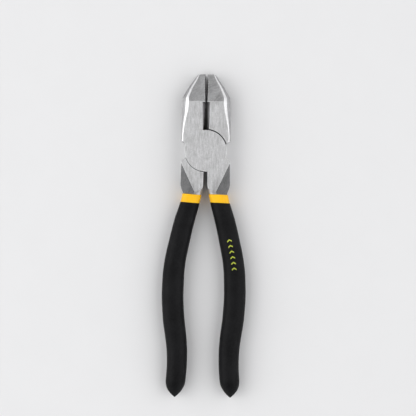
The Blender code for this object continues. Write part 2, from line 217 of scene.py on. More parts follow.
def noiseAt(tree, vector, scale, detail, roughness):
    node = tree.nodes.new("ShaderNodeTexNoise")
    tree.links.new(vector, node.inputs["Vector"])
    if hasattr(scale, "is_output"):
        tree.links.new(scale, node.inputs["Scale"])
    else:
        node.inputs["Scale"].default_value = scale
    node.inputs["Detail"].default_value = detail
    node.inputs["Roughness"].default_value = roughness
    return node.outputs["Fac"]


def spread(tree, value, low, high):
    # stretches what lies between low and high out to the full range from 0 to 1
    node = tree.nodes.new("ShaderNodeMapRange")
    node.interpolation_type = "SMOOTHSTEP"
    tree.links.new(value, node.inputs["Value"])
    node.inputs["From Min"].default_value = low
    node.inputs["From Max"].default_value = high
    return node.outputs["Result"]


# how the noises behind the shared effects are mixed and stretched
noises = {
    "coarseScale": 0.4,                     # deeper lines, against the fine ones
    "fineShare": 0.6,
    "coarseShare": 0.4,
    "lineRange": (0.32, 0.68),
    "scoreRange": (0.62, 0.74),
    "patchRange": (0.3, 0.7),
    "speckScale": 9.0,                      # specks, against patches
    "speckRange": (0.35, 0.75),
    "ridgeRange": (0.51, 0.58),
    "breakupRange": (0.3, 0.6),
}


def makeGrindLines():
    # fine grinding lines in the flat of the tool, turned by an angle, with a few deeper ones
    tree, given, result = shaderGroup(
        "grindLines",
        [("Vector", "NodeSocketVector", None), ("Turn", "NodeSocketFloat", 0.0),
         ("Fineness", "NodeSocketFloat", 3000.0), ("Stretch", "NodeSocketFloat", 30.0)],
        [("Lines", "NodeSocketFloat"), ("Scores", "NodeSocketFloat")])
    turn = tree.nodes.new("ShaderNodeVectorRotate")
    turn.rotation_type = "Z_AXIS"
    tree.links.new(given["Vector"], turn.inputs["Vector"])
    tree.links.new(given["Turn"], turn.inputs["Angle"])
    split = tree.nodes.new("ShaderNodeSeparateXYZ")
    tree.links.new(turn.outputs["Vector"], split.inputs["Vector"])
    join = tree.nodes.new("ShaderNodeCombineXYZ")
    tree.links.new(split.outputs["X"], join.inputs["X"])
    tree.links.new(maths(tree, "DIVIDE", split.outputs["Y"], given["Stretch"]), join.inputs["Y"])
    tree.links.new(split.outputs["Z"], join.inputs["Z"])
    coarseness = maths(tree, "MULTIPLY", given["Fineness"], noises["coarseScale"])
    fine = noiseAt(tree, join.outputs["Vector"], given["Fineness"], detail=4.0, roughness=0.7)
    coarse = noiseAt(tree, join.outputs["Vector"], coarseness, detail=3.0, roughness=0.6)
    both = maths(tree, "ADD", maths(tree, "MULTIPLY", fine, noises["fineShare"]),
                 maths(tree, "MULTIPLY", coarse, noises["coarseShare"]))
    tree.links.new(spread(tree, both, *noises["lineRange"]), result["Lines"])
    tree.links.new(spread(tree, coarse, *noises["scoreRange"]), result["Scores"])
    return tree


def makeMottle():
    # uneven patches, large and small
    tree, given, result = shaderGroup(
        "mottle",
        [("Vector", "NodeSocketVector", None), ("Scale", "NodeSocketFloat", 120.0)],
        [("Patches", "NodeSocketFloat"), ("Specks", "NodeSocketFloat")])
    speckScale = maths(tree, "MULTIPLY", given["Scale"], noises["speckScale"])
    large = noiseAt(tree, given["Vector"], given["Scale"], detail=3.0, roughness=0.55)
    small = noiseAt(tree, given["Vector"], speckScale, detail=2.0, roughness=0.6)
    tree.links.new(spread(tree, large, *noises["patchRange"]), result["Patches"])
    tree.links.new(spread(tree, small, *noises["speckRange"]), result["Specks"])
    return tree


def makeWornEdges():
    # outer edges, broken up a little, where handling rubs a surface
    tree, given, result = shaderGroup(
        "wornEdges",
        [("Vector", "NodeSocketVector", None), ("Breakup", "NodeSocketFloat", 900.0)],
        [("Edge", "NodeSocketFloat")])
    geometry = tree.nodes.new("ShaderNodeNewGeometry")
    ridge = spread(tree, geometry.outputs["Pointiness"], *noises["ridgeRange"])
    breakup = noiseAt(tree, given["Vector"], given["Breakup"], detail=3.0, roughness=0.6)
    broken = spread(tree, breakup, *noises["breakupRange"])
    tree.links.new(maths(tree, "MULTIPLY", ridge, broken), result["Edge"])
    return tree


grindLines, mottle, wornEdges = makeGrindLines(), makeMottle(), makeWornEdges()


class Finish:
    # one material, with the handful of nodes that every finish here starts from
    def __init__(self, name):
        self.material = bpy.data.materials.new(name)
        self.material.use_nodes = True
        self.tree = self.material.node_tree
        self.shader = self.tree.nodes["Principled BSDF"]
        self.place = self.tree.nodes.new("ShaderNodeTexCoord").outputs["Object"]

    def effect(self, group, **values):
        node = self.tree.nodes.new("ShaderNodeGroup")
        node.node_tree = group
        self.tree.links.new(self.place, node.inputs["Vector"])
        for label, value in values.items():
            node.inputs[label].default_value = value
        return node.outputs

    def blend(self, amount, a, b):
        node = self.tree.nodes.new("ShaderNodeMix")
        node.data_type = "RGBA"
        for socket, value in zip((node.inputs[0], node.inputs[6], node.inputs[7]), (amount, a, b)):
            if hasattr(value, "is_output"):
                self.tree.links.new(value, socket)
            else:
                socket.default_value = (*value, 1.0)
        return node.outputs[2]

    def part(self, value, share):
        # so much of a value and no more
        return maths(self.tree, "MULTIPLY", value, share)

    def downTool(self, start, finish):
        # 0 at start and 1 at finish along the tool
        split = self.tree.nodes.new("ShaderNodeSeparateXYZ")
        self.tree.links.new(self.place, split.inputs["Vector"])
        return spread(self.tree, split.outputs["Y"], start, finish)

    def between(self, amount, low, high):
        node = self.tree.nodes.new("ShaderNodeMapRange")
        self.tree.links.new(amount, node.inputs["Value"])
        node.inputs["To Min"].default_value = low
        node.inputs["To Max"].default_value = high
        return node.outputs["Result"]

    def wire(self, colour, roughness, height, bump):
        node = self.tree.nodes.new("ShaderNodeBump")
        node.inputs["Strength"].default_value = 1.0
        node.inputs["Distance"].default_value = bump
        self.tree.links.new(height, node.inputs["Height"])
        self.tree.links.new(colour, self.shader.inputs["Base Color"])
        self.tree.links.new(roughness, self.shader.inputs["Roughness"])
        self.tree.links.new(node.outputs["Normal"], self.shader.inputs["Normal"])
        return self.material


# each grind on the steel: low and high of its colour and roughness, and how its lines run
steelLooks = {
    "groundFace": {
        "dark": 0.37, "bright": 0.74, "rough": (0.34, 0.50),
        "turn": 0, "fineness": 2000, "stretch": 9, "bump": 0.010 * mm,
    },
    "noseFace": {
        "dark": 0.245, "bright": 0.58, "rough": (0.38, 0.55),
        "turn": 58, "fineness": 2600, "stretch": 3, "bump": 0.012 * mm,
    },
    "chamfer": {
        "dark": 0.48, "bright": 0.74, "rough": (0.24, 0.38),
        "turn": 8, "fineness": 1800, "stretch": 12, "bump": 0.006 * mm,
    },
    "rubbedEdge": {
        "dark": 0.52, "bright": 0.80, "rough": (0.24, 0.40),
        "turn": 0, "fineness": 900, "stretch": 4, "bump": 0.003 * mm,
    },
    "cutter": {
        "dark": 0.45, "bright": 0.69, "rough": (0.62, 0.76),
        "turn": 90, "fineness": 2200, "stretch": 8, "bump": 0.010 * mm,
    },
    # painted shade: the jaws' gripping faces and teeth, and the recess round the disc, are painted near black
    # so the gaps read dark
    "gripFace": {
        "dark": 0.010, "bright": 0.030, "rough": (0.62, 0.80),
        "turn": 90, "fineness": 1800, "stretch": 6, "bump": 0.012 * mm,
        # painted shade: dull and not metallic
        "darkAsShade": True,
    },
    # painted shade: the walls of the slot between the shanks are painted near black, fading down the tool
    # into the forged side
    "slotWall": {
        "dark": 0.05, "bright": 0.11, "rough": (0.50, 0.66),
        "turn": 0, "fineness": 1300, "stretch": 7, "bump": 0.014 * mm,
        "fade": (-20.5 * mm, -28.0 * mm), "fadeTo": "forgedSide",
    },
    # painted shade: the lap faces between the halves, seen only down the gap round the disc, are painted dark
    "lapFace": {
        "dark": 0.10, "bright": 0.20, "rough": (0.40, 0.55),
        "turn": 35, "fineness": 2000, "stretch": 12, "bump": 0.006 * mm,
    },
    "forgedEdge": {
        "dark": 0.20, "bright": 0.40, "rough": (0.34, 0.50),
        "turn": 0, "fineness": 1300, "stretch": 7, "bump": 0.014 * mm,
    },
    "forgedSide": {
        "dark": 0.36, "bright": 0.60, "rough": (0.32, 0.48),
        "turn": 0, "fineness": 1300, "stretch": 7, "bump": 0.014 * mm,
    },
    "forgedFacet": {
        "dark": 0.09, "bright": 0.21, "rough": (0.40, 0.56),
        "turn": 24, "fineness": 1200, "stretch": 4, "bump": 0.018 * mm,
    },
}
# how strongly each effect shows, on every grind alike
steelWear = {
    "patchScale": 160.0,
    "lines": 0.75,
    "scores": 0.45,
    "patches": 0.22,
    "specks": 0.28,
    "deepShade": 0.72,                      # scores and specks, against the dark colour
    "coolTint": 1.01,
    "scoreDepth": 0.8,
    "roughFromPatches": 0.5,
    "roughFromLines": 0.5,
    "bareSpecular": 0.5,
    # specular of the faces painted near black as shade
    "darkAsShadeSpecular": 0.2,
}


def steelFinish(name, look):
    finish = Finish(name + "Steel")
    lines = finish.effect(grindLines, Turn=math.radians(look["turn"]), Fineness=look["fineness"],
                          Stretch=look["stretch"])
    patches = finish.effect(mottle, Scale=steelWear["patchScale"])
    dark = (look["dark"],) * 3
    bright = (look["bright"], look["bright"], look["bright"] * steelWear["coolTint"])
    deep = tuple(c * steelWear["deepShade"] for c in dark)
    if "fade" in look:
        # the painted shade in the slot fades down the tool into another finish
        other = steelLooks[look["fadeTo"]]
        down = finish.downTool(*look["fade"])
        dark = finish.blend(down, dark, (other["dark"],) * 3)
        bright = finish.blend(down, bright, (other["bright"],) * 3)
    ground = finish.blend(finish.part(lines["Lines"], steelWear["lines"]), dark, bright)
    scored = finish.blend(finish.part(lines["Scores"], steelWear["scores"]), ground, deep)
    cloudy = finish.blend(finish.part(patches["Patches"], steelWear["patches"]), scored, bright)
    colour = finish.blend(finish.part(patches["Specks"], steelWear["specks"]), cloudy, deep)
    rough = maths(finish.tree, "ADD", finish.part(patches["Patches"], steelWear["roughFromPatches"]),
                  finish.part(lines["Lines"], steelWear["roughFromLines"]))
    scores = finish.part(lines["Scores"], steelWear["scoreDepth"])
    height = maths(finish.tree, "SUBTRACT", lines["Lines"], scores)
    # bare metal, but for the faces painted dull and near black as shade in the gaps
    darkAsShade = "darkAsShade" in look
    specular = steelWear["darkAsShadeSpecular" if darkAsShade else "bareSpecular"]
    finish.shader.inputs["Metallic"].default_value = 0.0 if darkAsShade else 1.0
    finish.shader.inputs["Specular IOR Level"].default_value = specular
    return finish.wire(colour, finish.between(rough, *look["rough"]), height, look["bump"])


steelFinishes = {name: steelFinish(name, look) for name, look in steelLooks.items()}

dipLooks = {
    "yellowDip": {
        "dark": (0.80, 0.42, 0.004), "bright": (0.90, 0.50, 0.008), "worn": (0.93, 0.58, 0.04),
        "rough": (0.34, 0.48), "specular": 0.22, "pebble": 1500, "bump": 0.010 * mm,
    },
    "blackDip": {
        "dark": (0.0020, 0.0020, 0.0024), "bright": (0.0048, 0.0048, 0.0054), "worn": (0.022, 0.022, 0.024),
        "rough": (0.42, 0.58), "specular": 0.10, "pebble": 1100, "bump": 0.016 * mm,
    },
    "limePrint": {
        "dark": (0.36, 0.42, 0.035), "bright": (0.46, 0.52, 0.055), "worn": (0.20, 0.23, 0.03),
        "rough": (0.40, 0.60), "specular": 0.3, "pebble": 1500, "bump": 0.006 * mm,
    },
}
# how strongly each effect shows, on both dips and the print
dipWear = {
    "patchScale": 90.0,
    "edgeBreakup": 700.0,
    "dust": 0.18,
    "edges": 0.5,
    "patchHeight": 1.5,
}


def dipFinish(name):
    look = dipLooks[name]
    finish = Finish(name)
    patches = finish.effect(mottle, Scale=dipWear["patchScale"])
    pebble = finish.effect(mottle, Scale=look["pebble"] / noises["speckScale"])
    worn = finish.effect(wornEdges, Breakup=dipWear["edgeBreakup"])
    body = finish.blend(patches["Patches"], look["dark"], look["bright"])
    dusty = finish.blend(finish.part(pebble["Specks"], dipWear["dust"]), body, look["worn"])
    colour = finish.blend(finish.part(worn["Edge"], dipWear["edges"]), dusty, look["worn"])
    finish.shader.inputs["Specular IOR Level"].default_value = look["specular"]
    swell = finish.part(pebble["Patches"], dipWear["patchHeight"])
    height = maths(finish.tree, "ADD", pebble["Specks"], swell)
    return finish.wire(colour, finish.between(patches["Specks"], *look["rough"]), height, look["bump"])


yellowDip, blackDip, limePrint = (dipFinish(name) for name in dipLooks)
print("finishes:", len(steelFinishes) + len(dipLooks))


# the shape that the shank, the band and the grip share
handle = {
    "shankLength": 30.2 * mm,               # pivot to the dip line
    "slotHalfWidth": 1.0 * mm,
    "shankWidth": 15.9 * mm,
    "shankCrown": 1.6 * mm,
    "shankTaper": 7.0 * mm,
    "shankBlockiness": 10.0,
    "shankPoints": 52,
    "shankRings": 16,
    "tangInset": 1.4 * mm,                  # the tang lies this far under the skin
    "tangPlaces": (-1.5 * mm, 2 * mm, 6 * mm, 10 * mm),
    "neckWidth": 13.3 * mm,
    "neckThickness": 12.8 * mm,
    "neckBlockiness": 3.65,
    "gripWidth": 15.1 * mm,
    "gripThickness": 13.2 * mm,
    "gripBlockiness": 2.45,
    "shoulderLength": 8.0 * mm,
    "endRounding": 13.0 * mm,
    "endPower": 2.5,
    "bowSteps": 200,
    # share of the handle's length, distance of its middle from the long axis
    "bow": (
        (0.000, 8.60 * mm), (0.040, 9.75 * mm), (0.080, 11.20 * mm), (0.125, 13.00 * mm),
        (0.222, 16.00 * mm), (0.340, 19.00 * mm), (0.399, 19.70 * mm), (0.486, 19.90 * mm),
        (0.604, 18.80 * mm), (0.721, 16.40 * mm), (0.780, 15.60 * mm), (0.839, 15.40 * mm),
        (0.898, 15.75 * mm), (0.956, 16.35 * mm), (1.000, 16.30 * mm),
    ),
    # share of the handle's length, share of the swell from neck to full grip
    "swell": (
        (0.00, 0.25), (0.05, 0.00), (0.13, 0.35), (0.28, 0.66), (0.47, 1.00),
        (0.62, 0.97), (0.72, 0.72), (0.82, 0.42), (0.92, 0.25), (1.00, 0.20),
    ),
}
bandHeight = 5.6 * mm
dipTilt = math.radians(3.0)
halvings = 30                               # of the search for the dip plane
halfThickness = headThickness / 2
shankCentre = handle["slotHalfWidth"] + handle["shankWidth"] / 2


def handleLength():
    # the right handle's end, brought back to the closed position
    endX = handle["bow"][-1][1]
    turn = restOpening / 2
    return (-gripLow + endX * math.sin(turn)) / math.cos(turn) - handle["shankLength"]


gripLength = handleLength()


def handleMiddle(s):
    y = -handle["shankLength"] - s
    if s >= 0:
        return along(handle["bow"], s / gripLength), y
    return mix(handle["bow"][0][1], shankCentre, ease(-s / handle["shankTaper"])), y


def handleTurn(s):
    step = gripLength / handle["bowSteps"]
    x0, y0 = handleMiddle(s - step)
    x1, y1 = handleMiddle(s + step)
    return math.atan2(x1 - x0, y0 - y1) * ease(s / bandHeight / 2)


def handleSize(s):
    h = handle
    if s < 0:
        up = ease(-s / h["shankTaper"])
        width, thick, blocky = handleSize(0.0)
        return (mix(width, h["shankWidth"] / 2, up), mix(thick, halfThickness + h["shankCrown"], up),
                mix(blocky, h["shankBlockiness"], up))
    swell = along(h["swell"], s / gripLength)
    return (mix(h["neckWidth"], h["gripWidth"], swell) / 2,
            mix(h["neckThickness"], h["gripThickness"], swell) / 2,
            mix(h["neckBlockiness"], h["gripBlockiness"], ease(s / h["shoulderLength"])))


def handleSkin(s, angle, proud=0.0, shrink=1.0):
    # a point on the handle: s down from the dip line, angle round the section
    x, y = handleMiddle(s)
    turn = handleTurn(s)
    width, thick, blocky = handleSize(s)
    c, d = math.cos(angle), math.sin(angle)
    across = math.copysign(abs(c) ** (2 / blocky), c) * (width + proud) * shrink
    up = math.copysign(abs(d) ** (2 / blocky), d) * (thick + proud) * shrink
    return Vector((x + across * math.cos(turn), y + across * math.sin(turn), up))


def dipPlaneShift(s, lever, angle, proud=0.0):
    # how far a point slides down the handle to lie on the tilted dip plane through s
    middle = Vector((*handleMiddle(s), 0.0))
    tilt = lever["tilt"] * dipTilt
    normal = Vector((-math.sin(tilt), math.cos(tilt), 0.0))
    low, high = s - bandHeight, s + bandHeight
    for _ in range(halvings):
        at = (low + high) / 2
        if (handleSkin(at, angle, proud) - middle).dot(normal) > 0:
            low = at
        else:
            high = at
    return at - s


jaw = {
    # distance back from the tip, half-width of the side, half-width of the ground face
    "outline": (
        (0.0 * mm, 4.98 * mm, 4.10 * mm), (4.0 * mm, 8.15 * mm, 5.90 * mm),
        (8.1 * mm, 11.10 * mm, 8.30 * mm), (12.3 * mm, 13.75 * mm, 10.20 * mm),
        (16.4 * mm, 16.10 * mm, 11.60 * mm), (18.6 * mm, 16.45 * mm, 11.65 * mm),
        (24.7 * mm, 16.60 * mm, 12.30 * mm), (30.3 * mm, 16.75 * mm, 13.60 * mm),
        (35.8 * mm, 16.85 * mm, 14.80 * mm), (42.7 * mm, 16.90 * mm, 15.70 * mm),
    ),
    "clearance": 0.04 * mm,
    "edgeSlopes": (0.50, 0.75),             # of the rubbed and of the forged part of the sloping side
    "rubbedShare": 0.42,
    "noseLength": 18.6 * mm,
    "noseDrop": 2.2 * mm,
    "sections": 44,
    "teeth": 6,
    "teethStart": 3.35 * mm,
    "toothPitch": 1.66 * mm,
    "toothMouth": 1.50 * mm,
    "toothDepth": 0.5 * mm,
    "cutterTop": 19.2 * mm,
    "cutterWidth": 2.05 * mm,
    "cutterLand": 0.7 * mm,
    "gripBreak": 0.32 * mm,                 # slope broken along the gripping edges
}
joint = {
    "discRadius": 14.45 * mm,
    "jawGap": 0.7 * mm,
    "shankGap": 0.3 * mm,
    "lapGap": 0.3 * mm,
    "stopAngle": math.radians(19.5),
    "notchFlare": math.radians(36.0),
    "facetStart": 8.0 * mm,
    "facetTurn": math.radians(26.0),
    "facetSlope": math.radians(16.0),
    "segments": 240,
    "edgeRadius": 0.16 * mm,
}
rivet = {
    "radius": 4.5 * mm,
    "headRadius": 5.6 * mm,
    "headHeight": 1.6 * mm,
    "gap": 0.015 * mm,
    "segments": 160,
    "edgeRadius": 0.04 * mm,
}
proudFace = 1.0 * mm                        # blanks stand this far proud until they are ground
reach = 4 * headThickness


def noseHalf(fromTip):
    return halfThickness - jaw["noseDrop"] * max(0.0, 1 - fromTip / jaw["noseLength"])


def jawSection(fromTip):
    sideRows = [(d, s) for d, s, f in jaw["outline"]]
    faceRows = [(d, f) for d, s, f in jaw["outline"]]
    side, face = along(sideRows, fromTip), along(faceRows, fromTip)
    half = noseHalf(fromTip)
    y = jawLength - fromTip
    near, far = jaw["edgeSlopes"]
    middle = mix(face, side, jaw["rubbedShare"])
    fold = half - near * (middle - face)
    low = fold - far * (side - middle)
    top = half + proudFace
    inner = face - proudFace / near
    upper = [(jaw["clearance"], top), (inner, top), (middle, fold), (side, low)]
    corners = upper + [(x, -z) for x, z in reversed(upper)]
    return [(-x, y, z) for x, z in corners]


def jawBlank():
    count = jaw["sections"]
    last = jaw["outline"][-1][0]
    places = [last * k / count for k in range(count + 1)]
    places += [d for d, s, f in jaw["outline"][1:-1]]
    places.append(jaw["noseLength"])
    rows = sorted({round(p, 6) for p in places})
    sections = [jawSection(p) for p in rows]
    sections.append([(x, 0.0, z) for x, y, z in jawSection(last)])
    return meshObject("jawBlank", loft(sections))


def notchTool(side):
    # the open corner beside the disc: 1 is above the shank, -1 below the jaw
    innerX = joint["discRadius"] * math.cos(joint["stopAngle"])
    innerY = joint["discRadius"] * math.sin(joint["stopAngle"])
    near, far = joint["discRadius"] / 2, 2 * joint["discRadius"]
    rise = math.tan(joint["notchFlare"])
    outline = [(near, innerY + (near - innerX) * rise), (far, innerY + (far - innerX) * rise),
               (far, -far), (near, -far)]
    placed = [(side * x, -side * y, -reach) for x, y in outline]
    return meshObject("notchTool", prism(placed, (0, 0, 2 * reach)))


def noseTool(face):
    root = jawLength - jaw["noseLength"]
    over = jaw["noseLength"] / 2
    drop = jaw["noseDrop"] * (1 + over / jaw["noseLength"])
    end = jawLength + over
    outline = [(-reach, root, face * halfThickness), (-reach, end, face * (halfThickness - drop)),
               (-reach, end, face * headThickness), (-reach, root, face * headThickness)]
    return meshObject("noseTool", prism(outline, (2 * reach, 0, 0)))


def faceTool(face):
    place = Matrix.Translation((0, 0, face * (halfThickness + headThickness / 2)))
    return meshObject("faceTool", block((2 * reach, 8 * reach, headThickness), place))


def facetTool(face):
    corner = 2 * shankCentre - handle["slotHalfWidth"]
    length = handle["shankLength"]
    place = (
        Matrix.Translation((corner, -joint["facetStart"], face * halfThickness))
        @ Matrix.Rotation(-joint["facetTurn"], 4, "Z")
        @ Matrix.Rotation(face * joint["facetSlope"], 4, "Y")
        @ Matrix.Translation((reach / 2, -length / 2, face * reach / 2))
    )
    return meshObject("facetTool", block((reach, 2 * length, reach), place))


def lapTool(radius, side):
    # room behind for the other half's disc: 1 is towards the jaws, -1 towards the shanks
    bm = bmesh.new()
    low, high = -reach, joint["lapGap"] / 2
    bmesh.ops.create_cone(bm, cap_ends=True, segments=joint["segments"], radius1=radius, radius2=radius,
                          depth=high - low, matrix=Matrix.Translation((0, 0, (low + high) / 2)))
    bmesh.ops.bisect_plane(bm, geom=bm.verts[:] + bm.edges[:] + bm.faces[:], clear_outer=True,
                           plane_co=(0, -side * jaw["clearance"], 0), plane_no=(0, -side, 0))
    bmesh.ops.holes_fill(bm, edges=[e for e in bm.edges if e.is_boundary])
    return meshObject("lapTool", bm)


def cutterTool(face):
    bottom = joint["discRadius"] + jaw["clearance"]
    top = jawLength - jaw["cutterTop"]
    slope = (halfThickness - jaw["cutterLand"] / 2) / jaw["cutterWidth"]
    x, z = -jaw["clearance"], jaw["cutterLand"] / 2
    over = proudFace
    outline = [(x - jaw["cutterWidth"] - over / slope, bottom, face * (halfThickness + over)),
               (x + over / slope, bottom, face * (z - over)),
               (x + over, bottom, face * (halfThickness + over))]
    return meshObject("cutterTool", prism(outline, (0, top - bottom, 0)))


def gripEdgeTool(face):
    # breaks the long edge of the gripping face, down to the tip along the nose
    x, width, over = -jaw["clearance"], jaw["gripBreak"], proudFace
    fall = jaw["noseDrop"] / jaw["noseLength"]
    start, length = jawLength - jaw["cutterTop"], jaw["cutterTop"] + over
    top = halfThickness + fall * (jaw["cutterTop"] - jaw["noseLength"])
    outline = [(x - width - over, start, face * (top + over)),
               (x + over, start, face * (top - width - over)),
               (x + over, start, face * (top + over))]
    return meshObject("gripEdgeTool", prism(outline, (0, length, -face * fall * length)))


def copiesTree(name, sizes):
    # copies of one small shape, made real and given their finish; the caller adds the points
    tree = bpy.data.node_groups.new(name, "GeometryNodeTree")
    nodeSocket(tree, "Shape", "NodeSocketObject")
    nodeSocket(tree, "Count", "NodeSocketInt", 6)
    for label, kind in sizes:
        nodeSocket(tree, label, kind)
    nodeSocket(tree, "Finish", "NodeSocketMaterial")
    nodeSocket(tree, "Copies", "NodeSocketGeometry", out=True)
    add, link = tree.nodes.new, tree.links.new
    given, result = add("NodeGroupInput").outputs, add("NodeGroupOutput").inputs
    shape, copies = add("GeometryNodeObjectInfo"), add("GeometryNodeInstanceOnPoints")
    real, paint = add("GeometryNodeRealizeInstances"), add("GeometryNodeSetMaterial")
    link(given["Shape"], shape.inputs["Object"])
    link(shape.outputs["Geometry"], copies.inputs["Instance"])
    link(copies.outputs["Instances"], real.inputs["Geometry"])
    link(real.outputs["Geometry"], paint.inputs["Geometry"])
    link(given["Finish"], paint.inputs["Material"])
    link(paint.outputs["Geometry"], result["Copies"])
    return tree, given, copies.inputs


def rowTree():
    # the copies stand in a straight row
    tree, given, copies = copiesTree(
        "rowOfCopies", [("First", "NodeSocketVector"), ("Step", "NodeSocketVector")])
    line = tree.nodes.new("GeometryNodeMeshLine")
    line.mode = "OFFSET"
    tree.links.new(given["Count"], line.inputs["Count"])
    tree.links.new(given["First"], line.inputs["Start Location"])
    tree.links.new(given["Step"], line.inputs["Offset"])
    tree.links.new(line.outputs["Mesh"], copies["Points"])
    return tree


def setOut(holder, tree, values):
    # gives the tree its sizes, then works the result in as a plain mesh
    row = holder.modifiers.new(tree.name, "NODES")
    row.node_group = tree
    for item in tree.interface.items_tree:
        if item.in_out == "INPUT" and item.name in values:
            row[item.identifier] = values[item.name]
    return baked(holder)


def teethTool():
    over = 2 * jaw["clearance"]
    half = jaw["toothMouth"] / 2 * (1 + over / jaw["toothDepth"])
    edge = over - jaw["clearance"]
    vee = meshObject("toothVee", prism(
        [(edge, -half, -reach), (edge, half, -reach), (-jaw["clearance"] - jaw["toothDepth"], 0, -reach)],
        (0, 0, 2 * reach)))
    top = jawLength - jaw["teethStart"] - jaw["toothMouth"] / 2
    row = setOut(meshObject("teethTool", bmesh.new()), rowTree(), {
        "Shape": vee, "Count": jaw["teeth"], "First": (0.0, top, 0.0),
        "Step": (0.0, -jaw["toothPitch"], 0.0), "Finish": steelFinishes["gripFace"],
    })
    discard(vee)
    return row


def rivetProfile(gap, over):
    end = halfThickness + over
    neck = halfThickness - rivet["headHeight"]
    grow = (rivet["headRadius"] - rivet["radius"]) / rivet["headHeight"]
    rim = rivet["headRadius"] + gap + grow * over
    shaft = rivet["radius"] + gap
    return [(0, end), (rim, end), (shaft, neck), (shaft, -neck), (rim, -end), (0, -end)]


def turned(profile, segments):
    bm = bmesh.new()
    verts = [bm.verts.new((x, 0, z)) for x, z in profile]
    edges = [bm.edges.new(pair) for pair in zip(verts, verts[1:])]
    bmesh.ops.spin(bm, geom=verts + edges, cent=(0, 0, 0), axis=(0, 0, 1), angle=math.tau,
                   steps=segments, use_merge=True)
    onAxis = 0.0001 * mm
    bmesh.ops.remove_doubles(bm, verts=bm.verts, dist=onAxis)
    hubs = [v for v in bm.verts if math.hypot(v.co.x, v.co.y) < onAxis]
    bmesh.ops.dissolve_verts(bm, verts=hubs)
    return bm


def shankBlank(lever):
    taper, count, rings = handle["shankTaper"], handle["shankPoints"], handle["shankRings"]
    points = [math.tau * (k + 0.5) / count for k in range(count)]
    start = -handle["shankLength"] + joint["discRadius"] / 4
    places = [start] + [mix(-taper, taper, k / rings) for k in range(rings + 1)]
    sections = [[handleSkin(s, a) for a in points] for s in places]
    blank = meshObject("shankBlank", loft(sections))
    x, y = handleMiddle(0.0)
    place = (
        Matrix.Translation((x, y, 0)) @ Matrix.Rotation(lever["tilt"] * dipTilt, 4, "Z")
        @ Matrix.Translation((0, -2 * gripLength, 0))
    )
    below = meshObject("belowDip", block((2 * reach, 4 * gripLength, 2 * reach), place))
    combine(blank, [below, notchTool(1), facetTool(1), facetTool(-1)], "DIFFERENCE")
    # a stub of the tang goes down inside the coats
    stub = meshObject("tangStub", loft([
        [handleSkin(s, a, -handle["tangInset"]) for a in points] for s in handle["tangPlaces"]
    ]))
    combine(blank, [stub], "UNION")
    return blank


finishOrder = list(steelLooks)
crispFinishes = {finishOrder.index(name) for name in ("gripFace", "cutter", "slotWall", "lapFace")}
softSeams = [
    {finishOrder.index("groundFace"), finishOrder.index(other)} for other in ("noseFace", "forgedFacet")
]
rounding = {
    "merge": 0.002 * mm,
    "flat": 0.2,                            # degrees; less than this is one flat face
    "sharp": 24.0,                          # degrees; more than this is a sharp edge
    "seam": 4.0,                            # degrees; more than this is a seam between two grinds
    "crispShare": 0.35,                     # of the full rounding, beside a crisp grind
    "seamShare": 0.7,
    "segments": 2,
}


def inOrder(bm):
    # the same mesh with its points and faces in one fixed order, which the exact solver
    # changes from run to run
    verts = sorted(bm.verts, key=lambda v: tuple(v.co))
    rank = {v: k for k, v in enumerate(verts)}
    faces = []
    for face in bm.faces:
        ring = [rank[v] for v in face.verts]
        first = ring.index(min(ring))
        faces.append((ring[first:] + ring[:first], face.material_index))
    fresh = bmesh.new()
    points = [fresh.verts.new(v.co) for v in verts]
    for ring, finish in sorted(faces):
        fresh.faces.new([points[k] for k in ring]).material_index = finish
    fresh.normal_update()
    bm.free()
    return fresh


def softenEdges(obj, width, edgeFinish):
    # merges flat triangles, then rounds the sharp edges a little, and the seams between
    # two flat grinds less
    bm = bmesh.new()
    bm.from_mesh(obj.data)
    bm = inOrder(bm)
    bmesh.ops.remove_doubles(bm, verts=bm.verts, dist=rounding["merge"])
    bmesh.ops.dissolve_limit(bm, angle_limit=math.radians(rounding["flat"]), verts=bm.verts,
                             edges=bm.edges, delimit={"MATERIAL"})
    bmesh.ops.dissolve_degenerate(bm, dist=rounding["merge"], edges=bm.edges)
    bm = inOrder(bm)
    weight = bm.edges.layers.float.new("bevel_weight_edge")
    for edge in bm.edges:
        if len(edge.link_faces) != 2:
            continue
        angle = math.degrees(edge.calc_face_angle(0.0))
        finishes = {face.material_index for face in edge.link_faces}
        if angle > rounding["sharp"]:
            edge[weight] = rounding["crispShare"] if finishes & crispFinishes else 1.0
        elif angle > rounding["seam"] and finishes in softSeams:
            edge[weight] = rounding["seamShare"]
    bm.to_mesh(obj.data)
    bm.free()
    obj.data.shade_smooth()
    bevel = obj.modifiers.new("edge", "BEVEL")
    bevel.width = width
    bevel.segments = rounding["segments"]
    bevel.limit_method = "WEIGHT"
    bevel.use_clamp_overlap = False
    bevel.harden_normals = True
    bevel.material = edgeFinish
    return baked(obj)


# how far up, ahead or in a face looks, from 0 to 1, for each grind
facing = {
    "flat": 0.999,
    "nose": 0.98,
    "tipAhead": 0.9,
    "gripMost": 0.9,
    "cutterLeast": 0.1,
    "slotIn": 0.5,
    "edgeLeast": 0.6,
    "chamferLeast": 0.83,
    "recessIn": 0.9,
}
# and how near it is to where that grind belongs
nearness = {
    "plane": 0.02 * mm,                     # to the ground plane
    "facet": 0.02,                          # to the way the facet looks
    "zone": 1.0 * mm,                       # past the nose's root, behind the tip, past the cutter
    "recess": (0.1 * mm, 1.0 * mm),         # out from the disc's edge
}


def facetNormal():
    turn, slope = joint["facetTurn"], joint["facetSlope"]
    out = math.sin(slope)
    return Vector((out * math.cos(turn), -out * math.sin(turn), math.cos(slope)))


